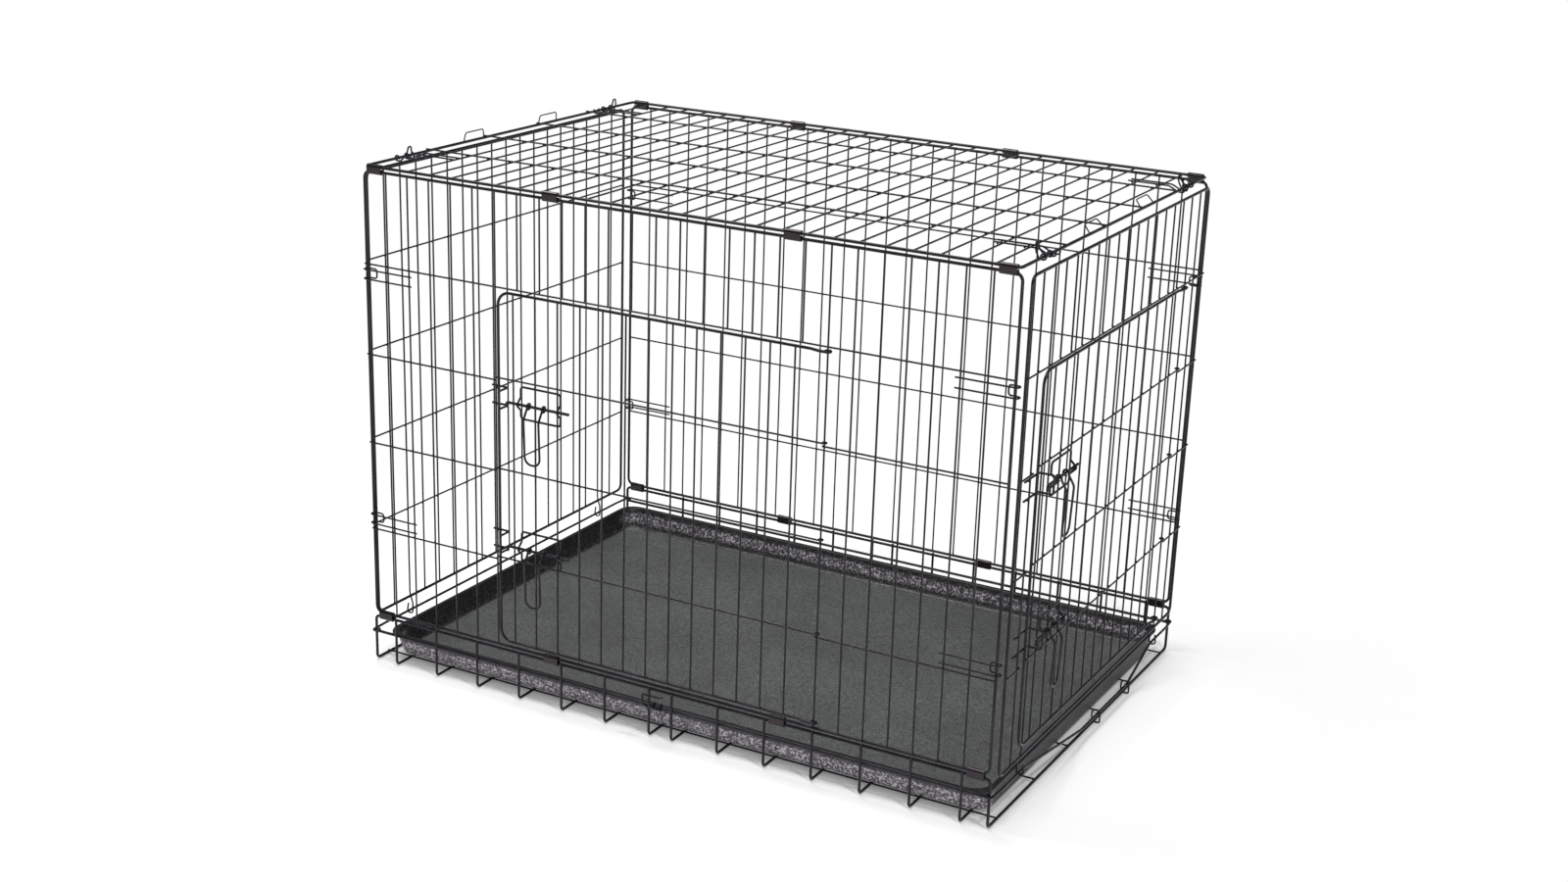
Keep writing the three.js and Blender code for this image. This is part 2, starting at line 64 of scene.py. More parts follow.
# Half the length of a side, an end, the roof and the base, and where the panels' wires run
SIDE = 0.520
PITCH = 2 * SIDE / 27
SIDE_ROWS = [0.082 + i * 0.1388 for i in range(6)]
SIDE_COLUMNS = [-SIDE + i * 2 * SIDE / 27 for i in range(28)]
END = 0.344
END_ROWS = [0.074, *SIDE_ROWS[1:5], 0.771]
END_COLUMNS = [-END + i * 2 * END / 18 for i in range(19)]
ROOF = 0.517
BASE = 0.522

# The planes of the sides, the ends and the roof, and each panel's own frame
DEPTH = 0.358
END_PLANE = 0.528
ROOF_LEVEL = 0.783
FACES = {
    "front": Matrix.Translation((0, -DEPTH, 0)),
    "back": Matrix.Translation((0, DEPTH, 0)) @ Matrix.Rotation(math.pi, 4, "Z"),
    "right_end": Matrix.Translation((END_PLANE, 0, 0)) @ Matrix.Rotation(math.pi / 2, 4, "Z"),
    "left_end": Matrix.Translation((-END_PLANE, 0, 0)) @ Matrix.Rotation(-math.pi / 2, 4, "Z"),
    "roof": Matrix.Translation((0, 0, ROOF_LEVEL)) @ Matrix.Rotation(-math.pi / 2, 4, "X"),
}

# A door hangs between two uprights, counted from the left. gap is from the first of them to its edge,
# edge and hang are from its edge and its hinge to its own outer uprights.
DOORS = {
    "front": {"first": 6, "last": 20, "gap": 0.0049, "edge": 0.0259, "hang": 0.0489,
              "columns": SIDE_COLUMNS, "face": "front"},
    "end": {"first": 1, "last": 16, "gap": 0.0248, "edge": 0.0392, "hang": 0.0392,
            "columns": END_COLUMNS, "face": "right_end"},
}
BOLTS = {"upper": 0.470, "lower": 0.2475}
BOLT_OUT = 0.008
BOLT_LENGTH = 0.110
BOLT_CLEAR = 0.0033
DOOR_TOP = 0.630
DOOR_BOTTOM = 0.0902
KEEPER_INSET = 0.014
BRACKET_INSET = 0.041
PULL_INSET = 0.071

# The cut end of a wire and its tightest bend, as shares of its gauge
CUT_LENGTH = 0.16
CUT_TAPER = 0.62
TIGHTEST = 0.62

# How far an eye closes, the room it has to turn, and the ends of level wires and hooks
EYE_TURN = math.radians(285)
RUNNING = 0.0003
LEVEL_TIP = 0.0016
HOOK_REACH = 0.083
HOOK_OUT = -0.0031

# The lens in pixels of the picture that it was matched to
LENS_PIXELS = 2218.8
PICTURE_PIXELS = 1600


def size(name, value, text):
    """A length that a user may change."""
    return bpy.props.FloatProperty(name=name, description=text, default=value, min=0.0, unit="LENGTH",
                                   precision=4)


def colour(name, value, text):
    """A colour that a user may change."""
    return bpy.props.FloatVectorProperty(name=name, description=text, default=value, size=3, min=0.0,
                                         max=1.0, subtype="COLOR")


class WireSizes(bpy.types.PropertyGroup):
    """Gauges and bends of the wires."""

    frame_gauge: size("Frame wire", 0.0045, "Thickness of the wire round each panel")
    mesh_gauge: size("Mesh wire", 0.0027, "Thickness of the wires across a panel")
    foot_gauge: size("Foot wire", 0.004, "Thickness of the wires under the tray")
    latch_gauge: size("Latch wire", 0.0033, "Thickness of keepers, brackets, pulls and the carrying hook")
    hook_gauge: size("Hook wire", 0.0026, "Thickness of the hooks at the corners and on the roof")
    loop_gauge: size("Loop wire", 0.002, "Thickness of the thin loops on the roof")
    rod_gauge: size("Bolt rod", 0.0044, "Thickness of the sliding bolts")
    layer: size("Layer", 0.003, "How far the level wires stand out from the upright ones")
    corner: size("Corner bend", 0.011, "Bend at the corners of a side or an end")
    door_gauge: size("Door wire", 0.0043, "Thickness of the wire round each door")
    door_corner: size("Door corner bend", 0.0195, "Bend at the corners of a door")
    foot_bend: size("Foot bend", 0.006, "Bend where a foot wire meets the floor")
    weld: size("Weld", 0.0021, "Radius of the bead at each crossing")


class TraySizes(bpy.types.PropertyGroup):
    """Sizes of the tray."""

    length: size("Length", 1.028, "Length over the rim")
    width: size("Width", 0.698, "Width over the rim")
    rim: size("Rim height", 0.046, "Height of the top of the rim above the floor")
    foot: size("Foot height", 0.0071, "Height of the underside above the floor")
    wall: size("Wall", 0.003, "Thickness of the wall")
    lip: size("Lip", 0.005, "Width of the turned lip")
    corner: size("Corner", 0.045, "Radius of the corners")


class Finishes(bpy.types.PropertyGroup):
    """Colours of the finishes."""

    coat: colour("Wire coat", (0.010, 0.009, 0.012), "Black coat of the wires")
    strap: colour("Straps", (0.04, 0.034, 0.038), "Dark bright strip of the hinge straps")
    tray_floor: colour("Tray floor", (0.072, 0.077, 0.074), "Moulded floor of the tray")
    tray_wall: colour("Tray wall", (0.055, 0.048, 0.058), "Grained wall of the tray")
    rim: colour("Tray rim", (0.012, 0.010, 0.012), "Turned lip of the tray")
    # Painted highlight: the bright tops of the wall's grain stand for light caught by the grain
    grain_highlight: colour("Grain highlight", (0.62, 0.58, 0.63), "Bright tops of the wall's grain")


class StageSizes(bpy.types.PropertyGroup):
    """The floor and the light."""

    floor: size("Floor", 9.0, "Half the width of the floor")
    sky: bpy.props.FloatProperty(name="Sky", description="Light from all round", default=0.45, min=0.0)
    lamp: bpy.props.FloatProperty(name="Lamp", description="Power of the large lamp", default=30.0,
                                  min=0.0, unit="POWER")


def rig():
    """The settings of the cage, in the order wires, tray, finishes."""
    scene = bpy.context.scene
    return scene.cage_wires, scene.cage_tray, scene.cage_finishes


# ---------------------------------------------------------------- wire bending


def whole(face):
    """A face with its edges and corners, so that nothing of it stays behind when it is drawn out."""
    return [face, *face.edges, *face.verts]


class Bender:
    """A wire or strip that is fed straight and bent, leg by leg."""

    def __init__(self, bm, at, way, gauge, strip=None, blunt=True):
        self.bm, self.at, self.way, self.gauge = bm, Vector(at), Vector(way).normalized(), gauge
        if not strip and not blunt:
            self.at = self.at - self.way * gauge * CUT_LENGTH
        turned = self.way.to_track_quat("Z", "Y").to_matrix().to_4x4()
        place = Matrix.Translation(self.at) @ turned
        if strip:
            across, wide = strip
            side = self.way.cross(across)
            turned = Matrix((across, side, self.way)).transposed().to_4x4()
            place = Matrix.Translation(self.at) @ turned @ Matrix.Diagonal((wide, gauge, 1, 1))
            made = bmesh.ops.create_grid(bm, x_segments=1, y_segments=1, size=0.5, matrix=place)
        else:
            made = bmesh.ops.create_circle(bm, cap_ends=True, cap_tris=False, segments=12,
                                           radius=gauge / 2 * (1 if blunt else CUT_TAPER), matrix=place)
        self.tip = made["verts"][0].link_faces[0]
        self.first = None
        if not strip and not blunt:
            self.run(gauge * CUT_LENGTH, grow=1 / CUT_TAPER)

    def run(self, length, grow=None):
        """Feeds the wire straight on."""
        start = self.tip
        made = bmesh.ops.extrude_face_region(self.bm, geom=whole(self.tip))["geom"]
        verts = [g for g in made if isinstance(g, bmesh.types.BMVert)]
        self.tip = next(g for g in made if isinstance(g, bmesh.types.BMFace))
        self.first = self.first or start
        step = self.way * length
        bmesh.ops.translate(self.bm, verts=verts, vec=step)
        self.at = self.at + step
        if grow:
            centre = Matrix.Translation(-self.at)
            bmesh.ops.scale(self.bm, verts=verts, vec=(grow, grow, grow), space=centre)
        return self

    def bend(self, axis, angle, radius):
        """Bends the wire round a former of that radius, to its centreline."""
        axis = Vector(axis).normalized()
        centre = self.at + axis.cross(self.way) * radius
        steps = max(2, math.ceil(angle / math.radians(15)))
        made = bmesh.ops.spin(self.bm, geom=whole(self.tip), cent=centre, axis=axis, dvec=(0, 0, 0),
                              angle=angle, steps=steps, use_merge=False, use_duplicate=False)
        self.tip = next(g for g in made["geom_last"] if isinstance(g, bmesh.types.BMFace))
        turn = Matrix.Rotation(angle, 3, axis)
        self.at = centre + turn @ (self.at - centre)
        self.way = turn @ self.way
        return self

    def cut(self):
        """Ends the wire with a slightly rounded cut."""
        return self.run(self.gauge * CUT_LENGTH, grow=CUT_TAPER)


def curl_start(at, way, axis, radius, angle):
    """Where an eye begins that leaves at a point in a direction."""
    at, way, axis = Vector(at), Vector(way).normalized(), Vector(axis)
    centre = at + axis.cross(way) * radius
    back = Matrix.Rotation(-angle, 3, axis)
    return centre + back @ (at - centre), back @ way


def wire(bm, points, gauge, bend=0.0, start=None, end=None, closed=False):
    """Feeds and bends one wire along points.

    start and end are eyes: an axis, a radius and an angle. end may have a straight tail as a fourth.
    """
    spots = [Vector(p) for p in points]
    if closed:
        middle = (spots[0] + spots[1]) / 2
        spots = [middle, *spots[1:], spots[0], middle]
    legs = [b - a for a, b in zip(spots, spots[1:])]
    bends = bend if isinstance(bend, (list, tuple)) else [bend] * (len(spots) - 2)
    trims, turns = [0.0], []
    for before, after, radius in zip(legs, legs[1:], bends):
        angle = before.angle(after)
        room = min(before.length, after.length) * (0.5 if len(legs) > 2 else 1.0) * 0.999
        reach = min(max(radius, gauge * TIGHTEST) * math.tan(angle / 2), room)
        trims.append(reach)
        turns.append((before.cross(after), angle, reach / math.tan(angle / 2) if angle > 1e-4 else 0))
    trims.append(0.0)
    if start:
        axis, radius, angle = start
        at, way = curl_start(spots[0], legs[0], axis, radius, angle)
        made = Bender(bm, at, way, gauge, blunt=False)
        made.bend(axis, angle, radius)
    else:
        made = Bender(bm, spots[0], legs[0], gauge, blunt=closed)
    for i, leg in enumerate(legs):
        length = leg.length - trims[i] - trims[i + 1]
        if length > 1e-5:
            made.run(length)
        if i < len(turns) and turns[i][1] > 1e-3:
            made.bend(*turns[i])
    if end:
        axis, radius, angle, *tail = end
        made.bend(axis, angle, radius)
        if tail:
            made.run(tail[0])
    if closed:
        caps = [made.first, made.tip]
        rim = [v for face in caps for v in face.verts]
        bmesh.ops.delete(bm, geom=caps, context="FACES_ONLY")
        bmesh.ops.remove_doubles(bm, verts=rim, dist=gauge * 0.05)
    else:
        made.cut()


def bead(bm, at, radius):
    """The lump that a weld leaves where two wires cross."""
    bmesh.ops.create_icosphere(bm, subdivisions=1, radius=radius, matrix=Matrix.Translation(at))


def piece(bm, name, body, materials, nodes, place=None):
    """Makes a bmesh an object of the cage that stands for its nodes."""
    if place is not None:
        bmesh.ops.transform(bm, matrix=place, verts=bm.verts)
    bmesh.ops.recalc_face_normals(bm, faces=bm.faces)
    for face in bm.faces:
        face.smooth = True
    mesh = bpy.data.meshes.new(name)
    bm.to_mesh(mesh)
    bm.free()
    mesh.set_sharp_from_angle(angle=math.radians(48))
    made = bpy.data.objects.new(name, mesh)
    bpy.context.scene.collection.objects.link(made)
    for material in materials:
        mesh.materials.append(material)
    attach(made, body)
    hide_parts(*nodes)
    return made


# ---------------------------------------------------------------- finishes


def finish(name):
    """A material, and with a new one its shader, a way to add nodes, and a link call with coordinates."""
    material = bpy.data.materials.get(name)
    if material:
        return material, None, None, None
    material = bpy.data.materials.new(name)
    material.use_nodes = True
    tree = material.node_tree
    shader = tree.nodes["Principled BSDF"]
    where = tree.nodes.new("ShaderNodeTexCoord")

    def add(kind, source=None, socket="Vector", **values):
        node = tree.nodes.new(kind)
        for key, value in values.items():
            if key in node.inputs:
                node.inputs[key].default_value = value
            else:
                setattr(node, key, value)
        if source is not None:
            tree.links.new(source, node.inputs[socket])
        return node

    return material, shader, add, (tree.links.new, where.outputs["Object"])


def ramp(node, stops):
    """Sets the colours of a ramp."""
    edges = node.color_ramp.elements
    while len(edges) < len(stops):
        edges.new(0.5)
    for edge, (place, tone) in zip(edges, stops):
        edge.position = place
        edge.color = (*tone, 1)


def coat_finish():
    """Black coat, glossy, with a faint skin and thinner and thicker places."""
    material, shader, add, more = finish("black wire coat")
    if add is None:
        return material
    link, where = more
    tone = rig()[2].coat
    cloud = add("ShaderNodeTexNoise", where, Scale=22.0, Detail=3.0)
    shades = add("ShaderNodeValToRGB", cloud.outputs["Fac"], "Fac")
    ramp(shades, [(0.35, [c * 0.7 for c in tone]), (0.7, [min(1, c * 2.1) for c in tone])])
    link(shades.outputs["Color"], shader.inputs["Base Color"])
    patches = add("ShaderNodeTexNoise", where, Scale=90.0, Detail=2.0)
    gloss = add("ShaderNodeMapRange", patches.outputs["Fac"], "Value")
    gloss.inputs["To Min"].default_value = 0.12
    gloss.inputs["To Max"].default_value = 0.26
    link(gloss.outputs["Result"], shader.inputs["Roughness"])
    skin = add("ShaderNodeTexNoise", where, Scale=700.0, Detail=2.0)
    bump = add("ShaderNodeBump", skin.outputs["Fac"], "Height", Strength=0.25, Distance=0.0002)
    link(bump.outputs["Normal"], shader.inputs["Normal"])
    shader.inputs["Specular IOR Level"].default_value = 0.22
    return material


def strap_finish():
    """Dark bright strip steel, drawn along its length."""
    material, shader, add, more = finish("dark bright strip")
    if add is None:
        return material
    link, where = more
    tone = rig()[2].strap
    drawn = add("ShaderNodeMapping", where, Scale=(40.0, 900.0, 900.0))
    lines = add("ShaderNodeTexNoise", drawn.outputs["Vector"], Scale=1.0, Detail=3.0)
    shades = add("ShaderNodeValToRGB", lines.outputs["Fac"], "Fac")
    ramp(shades, [(0.3, [c * 0.75 for c in tone]), (0.75, [min(1, c * 1.25) for c in tone])])
    link(shades.outputs["Color"], shader.inputs["Base Color"])
    bump = add("ShaderNodeBump", lines.outputs["Fac"], "Height", Strength=0.2, Distance=0.0001)
    link(bump.outputs["Normal"], shader.inputs["Normal"])
    shader.inputs["Metallic"].default_value = 0.8
    shader.inputs["Roughness"].default_value = 0.2
    return material


def tray_floor_finish():
    """Matt moulded plastic with a fine grain and soft patches."""
    material, shader, add, more = finish("moulded tray floor")
    if add is None:
        return material
    link, where = more
    tone = rig()[2].tray_floor
    cloud = add("ShaderNodeTexNoise", where, Scale=5.0, Detail=5.0, Roughness=0.6)
    shades = add("ShaderNodeValToRGB", cloud.outputs["Fac"], "Fac")
    ramp(shades, [(0.3, [c * 0.78 for c in tone]), (0.72, [c * 1.22 for c in tone])])
    speck = add("ShaderNodeTexNoise", where, Scale=330.0, Detail=4.0)
    fine = add("ShaderNodeValToRGB", speck.outputs["Fac"], "Fac")
    ramp(fine, [(0.36, (0.42, 0.42, 0.42)), (0.64, (1.25, 1.25, 1.25))])
    mixed = add("ShaderNodeVectorMath", shades.outputs["Color"], 0, operation="MULTIPLY")
    link(fine.outputs["Color"], mixed.inputs[1])
    link(mixed.outputs["Vector"], shader.inputs["Base Color"])
    bump = add("ShaderNodeBump", speck.outputs["Fac"], "Height", Strength=0.45, Distance=0.0005)
    link(bump.outputs["Normal"], shader.inputs["Normal"])
    shader.inputs["Roughness"].default_value = 0.62
    return material


def tray_wall_finish(name, low, high, bottom, top):
    """The same plastic with a coarse hammered grain, its tops a painted highlight, and painted light between
    two heights of the long walls.
    """
    material, shader, add, more = finish(name)
    if add is None:
        return material
    link, where = more
    cells = add("ShaderNodeTexVoronoi", where, Scale=300.0, feature="SMOOTH_F1")
    cells.inputs["Smoothness"].default_value = 0.45
    warp = add("ShaderNodeTexNoise", where, Scale=240.0, Detail=3.0)
    tops = add("ShaderNodeMath", cells.outputs["Distance"], 0, operation="MULTIPLY")
    link(warp.outputs["Fac"], tops.inputs[1])
    # The ramp runs from the wall's own tone up to the painted highlight on the grain's tops
    shades = add("ShaderNodeValToRGB", tops.outputs["Value"], "Fac")
    low, high = list(low), list(high)
    middle = [a * 0.7 + b * 0.3 for a, b in zip(low, high)]
    ramp(shades, [(0.16, low), (0.27, middle), (0.40, high)])
    # Painted light: the grain shows bright only in a band on the long walls between bottom and top, as if lit
    # from the floor below the lip; elsewhere the colour is scaled down to 0.13 as painted shade
    parts = add("ShaderNodeSeparateXYZ", where)
    depth = add("ShaderNodeMath", parts.outputs["Y"], 0, operation="ABSOLUTE")
    share = None
    for source, edges in (
        (depth.outputs["Value"], (0.300, 0.318)),
        (parts.outputs["Z"], (bottom - 0.004, bottom + 0.004)),
        (parts.outputs["Z"], (top + 0.006, top)),
    ):
        step = add("ShaderNodeMapRange", source, "Value", interpolation_type="SMOOTHSTEP")
        step.inputs["From Min"].default_value, step.inputs["From Max"].default_value = edges
        if share is None:
            share = step.outputs["Result"]
        else:
            both = add("ShaderNodeMath", share, 0, operation="MULTIPLY")
            link(step.outputs["Result"], both.inputs[1])
            share = both.outputs["Value"]
    painted_band_colour = add("ShaderNodeVectorMath", shades.outputs["Color"], 0, operation="SCALE")
    lift = add("ShaderNodeMapRange", share, "Value")
    lift.inputs["To Min"].default_value = 0.13
    link(lift.outputs["Result"], painted_band_colour.inputs["Scale"])
    link(painted_band_colour.outputs["Vector"], shader.inputs["Base Color"])
    bump = add("ShaderNodeBump", tops.outputs["Value"], "Height", Strength=0.6, Distance=0.0010)
    link(bump.outputs["Normal"], shader.inputs["Normal"])
    shader.inputs["Roughness"].default_value = 0.45
    return material


def tray_rim_finish():
    """Smooth dark plastic of the turned lip."""
    material, shader, add, more = finish("dark tray rim")
    if add is None:
        return material
    link, where = more
    tone = rig()[2].rim
    cloud = add("ShaderNodeTexNoise", where, Scale=60.0, Detail=3.0)
    shades = add("ShaderNodeValToRGB", cloud.outputs["Fac"], "Fac")
    ramp(shades, [(0.3, [c * 0.7 for c in tone]), (0.75, [min(1, c * 1.6) for c in tone])])
    link(shades.outputs["Color"], shader.inputs["Base Color"])
    speck = add("ShaderNodeTexNoise", where, Scale=500.0, Detail=2.0)
    bump = add("ShaderNodeBump", speck.outputs["Fac"], "Height", Strength=0.3, Distance=0.0003)
    link(bump.outputs["Normal"], shader.inputs["Normal"])
    shader.inputs["Roughness"].default_value = 0.38
    shader.inputs["Specular IOR Level"].default_value = 0.3
    return material


# ---------------------------------------------------------------- panels


def lattice(bm, columns, rows, bend, opening=None, posts=None):
    """A panel: a closed frame wire, upright wires, and level wires on the outside with their welds.

    opening is its first and last upright and the row above it. posts draw some uprights their own way.
    """
    wires = rig()[0]
    left, right, low, high = columns[0], columns[-1], rows[0], rows[-1]
    corners = [(left, 0, low), (right, 0, low), (right, 0, high), (left, 0, high)]
    wire(bm, corners, wires.frame_gauge, bend, closed=True)
    first, last, top = opening if opening else (len(columns), -1, 0)
    for i, x in enumerate(columns[1:-1], start=1):
        inside = first < i < last
        foot = rows[top] if inside else low
        if posts and i in posts:
            posts[i](bm, x, high)
        else:
            wire(bm, [(x, 0, foot), (x, 0, high)], wires.mesh_gauge)
    for j, z in enumerate(rows[1:-1], start=1):
        broken = opening and j < top
        spans = [(left, columns[first]), (columns[last], right)] if broken else [(left, right)]
        for a, b in spans:
            level = [(a - LEVEL_TIP, -wires.layer, z), (b + LEVEL_TIP, -wires.layer, z)]
            wire(bm, level, wires.mesh_gauge)
        for i, x in enumerate(columns):
            if not (broken and first < i < last):
                bead(bm, (x, -wires.layer * 0.5, z), wires.weld)


def edge_hook(bm, post, levels):
    """The double hook: two legs along the outside, round the last wire, and back, joined behind it."""
    gauge = rig()[0].hook_gauge
    side = math.copysign(1, post)
    back, beyond, tail = 0.0070, 0.0056, 0.012
    far, near = max(levels), min(levels)
    past = post + side * beyond

    def leg(z):
        return [(post - side * HOOK_REACH, HOOK_OUT, z), (past, HOOK_OUT, z), (past, back, z)]

    joined = [(post - side * tail, back, far), (post - side * tail, back, near)]
    path = [*leg(far), *joined, *reversed(leg(near))]
    wire(bm, path, gauge, [0.005, 0.005, 0.004, 0.004, 0.005, 0.005])
    for z in (far, near):
        for k in (1, 2):
            bead(bm, (post - side * k * PITCH, -0.0016, z), gauge * 0.7)


def keeper(bm, door, level):
    """The keeper: a loop from behind the door's edge, out through the door, round the bolt."""
    gauge = rig()[0].latch_gauge
    post = door["columns"][door["first"]]
    reach = post + door["gap"] + KEEPER_INSET
    inside, out = 0.0036, -0.0186
    low, high = level - 0.009, level + 0.018
    start = post - 0.009
    path = [(start, inside, high), (reach, inside, high), (reach, out, high),
            (reach, out, low), (reach, inside, low), (start, inside, low)]
    wire(bm, path, gauge, 0.0035)
    for z in (low, high):
        bead(bm, (post, 0.0018, z), gauge * 0.75)


def side_panel(name, body, face, door=None):
    """One long side with its hooks, and the keepers where it has a door."""
    bm = bmesh.new()
    opening = (door["first"], door["last"], 4) if door else None
    lattice(bm, SIDE_COLUMNS, SIDE_ROWS, rig()[0].corner, opening)
    for side in (-1, 1):
        for levels in ((0.628, 0.6137), (0.2428, 0.2285)):
            edge_hook(bm, side * SIDE, levels)
    if door:
        for level in BOLTS.values():
            keeper(bm, door, level)
    return piece(bm, name, body, [coat_finish()], [name.replace("wires", "panel")], FACES[face])


def end_panel(name, body, face, door=None):
    """One end. Two of its uprights run on below it and curl round the low wire of the base."""
    wires = rig()[0]
    bm = bmesh.new()

    def hooked(bm, x, high):
        ring = 0.0052
        path = [(x, 0, high), (x, 0, 0.080), (x, ring, 0.064), (x, ring, 0.0505)]
        wire(bm, path, wires.mesh_gauge, [0.02, 0.012], end=(-X, ring, math.radians(190), 0.010))
        bead(bm, (x, 0, END_ROWS[0]), wires.weld)

    opening = (door["first"], door["last"], 4) if door else None
    lattice(bm, END_COLUMNS, END_ROWS, wires.corner, opening, posts={2: hooked, 16: hooked})
    if door:
        for level in BOLTS.values():
            keeper(bm, door, level)
    return piece(bm, name, body, [coat_finish()], [name.replace("wires", "panel")], FACES[face])


class CAGE_OT_sides(bpy.types.Operator):
    """Bends up the two long sides, with their corner hooks."""

    bl_idname = "cage.sides"
    bl_label = "Long sides"

    def execute(self, context):
        side_panel("front_wires", "front", "front", DOORS["front"])
        side_panel("back_wires", "back", "back")
        return {"FINISHED"}


class CAGE_OT_ends(bpy.types.Operator):
    """Bends up the two ends, which curl round the low wires of the base."""

    bl_idname = "cage.ends"
    bl_label = "Ends"

    def execute(self, context):
        end_panel("right_end_wires", "right_end", "right_end", DOORS["end"])
        end_panel("left_end_wires", "left_end", "left_end")
        return {"FINISHED"}


class CAGE_OT_roof(bpy.types.Operator):
    """Bends up the roof, with its ties and the thin loops at its ends."""

    bl_idname = "cage.roof"
    bl_label = "Roof"

    def execute(self, context):
        wires = rig()[0]
        gauge = wires.hook_gauge
        bm = bmesh.new()
        columns = [-ROOF, *SIDE_COLUMNS[1:-1], ROOF]
        rows = [-DEPTH + i * 2 * DEPTH / 5 for i in range(6)]
        lattice(bm, columns, rows, 0.007)
        for side in (-1, 1):
            post = side * ROOF
            for z in (-0.257, -0.243, 0.243, 0.257):
                path = [(post - side * HOOK_REACH, HOOK_OUT, z), (post - side * 0.019, HOOK_OUT, z),
                        (post - side * 0.004, 0.0044, z), (post + side * 0.0052, 0.0044, z),
                        (post + side * 0.0052, -0.002, z)]
                wire(bm, path, gauge, [0.012, 0.006, 0.0045])
                for k in (1, 2):
                    bead(bm, (post - side * k * PITCH, -0.0016, z), gauge * 0.7)
            for z in (-0.099, 0.099):
                inward, up = (0.010, -0.0115) if side > 0 else (-0.0015, -0.0145)
                path = [(post, 0, z - 0.0255), (post - inward, up, z - 0.0225),
                        (post - inward, up, z + 0.0225), (post, 0, z + 0.0255)]
                wire(bm, path, wires.loop_gauge, 0.0045)
        piece(bm, "roof_wires", "roof", [coat_finish()], ["roof_panel"], FACES["roof"])
        return {"FINISHED"}


# ---------------------------------------------------------------- doors, bolts and pulls


def bracket(bm, near, level):
    """The bracket: a round-cornered loop on the door with a notch outwards where the bolt runs."""
    gauge = rig()[0].latch_gauge
    y, out = -0.0031, -0.0134
    low, high, far = level - 0.0226, level + 0.0256, near + 0.069

    def notch(x, up):
        steps = [(x, y, level - 0.010), (x, out, level), (x, y, level + 0.010)]
        return steps if up else steps[::-1]

    path = [(near, y, low), (far, y, low), *notch(far, True), (far, y, high), (near, y, high),
            *notch(near, False)]
    tight = [0.002, 0.003, 0.002]
    wire(bm, path, gauge, [0.005, *tight, 0.005, 0.005, *tight, 0.005], closed=True)


class CAGE_OT_doors(bpy.types.Operator):
    """Bends up both doors, which turn on eyes round an upright, with the brackets of their bolts."""

    bl_idname = "cage.doors"
    bl_label = "Doors"

    def execute(self, context):
        wires = rig()[0]
        for name, door in DOORS.items():
            bm = bmesh.new()
            edge = door["columns"][door["first"]] + door["gap"]
            hinge = door["columns"][door["last"]]
            first, last = edge + door["edge"], hinge - door["hang"]
            uprights = [first + i * (last - first) / 12 for i in range(13)]
            levels = [z + 0.0041 for z in SIDE_ROWS[1:4]]
            ring = wires.door_gauge / 2 + wires.mesh_gauge / 2 + RUNNING

            def bar(z):
                return [(hinge, -ring, z), (hinge - 0.011, -ring, z), (hinge - 0.026, 0, z)]

            corners = [(edge, 0, DOOR_TOP), (edge, 0, DOOR_BOTTOM)]
            outer = [*bar(DOOR_TOP), *corners, *reversed(bar(DOOR_BOTTOM))]
            bends = [0.012, 0.012, wires.door_corner, wires.door_corner, 0.012, 0.012]
            wire(bm, outer, wires.door_gauge, bends,
                 start=(-Z, ring, EYE_TURN), end=(Z, ring, EYE_TURN))
            for x in uprights:
                wire(bm, [(x, 0, DOOR_BOTTOM), (x, 0, DOOR_TOP)], wires.mesh_gauge)
            small = wires.mesh_gauge + RUNNING
            for z in levels:
                path = [(edge - LEVEL_TIP, -wires.layer, z), (hinge - 0.012, -wires.layer, z),
                        (hinge, -small, z)]
                wire(bm, path, wires.mesh_gauge, 0.02, end=(Z, small, EYE_TURN))
                for x in (edge, *uprights):
                    bead(bm, (x, -wires.layer * 0.5, z), wires.weld)
            for level in BOLTS.values():
                bracket(bm, edge + BRACKET_INSET, level)
            body = name + "_door"
            piece(bm, name + "_door_wires", body, [coat_finish()], [body], FACES[door["face"]])
        return {"FINISHED"}


class CAGE_OT_bolts(bpy.types.Operator):
    """Draws the four bolts, rods whose tips are bent down behind the keepers."""

    bl_idname = "cage.bolts"
    bl_label = "Bolts"

    def execute(self, context):
        wires = rig()[0]
        radius = wires.rod_gauge / 2
        for name, door in DOORS.items():
            edge = door["columns"][door["first"]] + door["gap"]
            near = edge + KEEPER_INSET + BOLT_CLEAR
            tip = near + radius
            for row, level in BOLTS.items():
                bm = bmesh.new()
                path = [(near + BOLT_LENGTH, -BOLT_OUT, level), (tip, -BOLT_OUT, level),
                        (tip, -0.0082, level - 0.0072)]
                wire(bm, path, wires.rod_gauge, 0.0032)
                body = f"{name}_{row}_bolt"
                piece(bm, f"{name}_{row}_rod", body, [coat_finish()], [body], FACES[door["face"]])
        return {"FINISHED"}


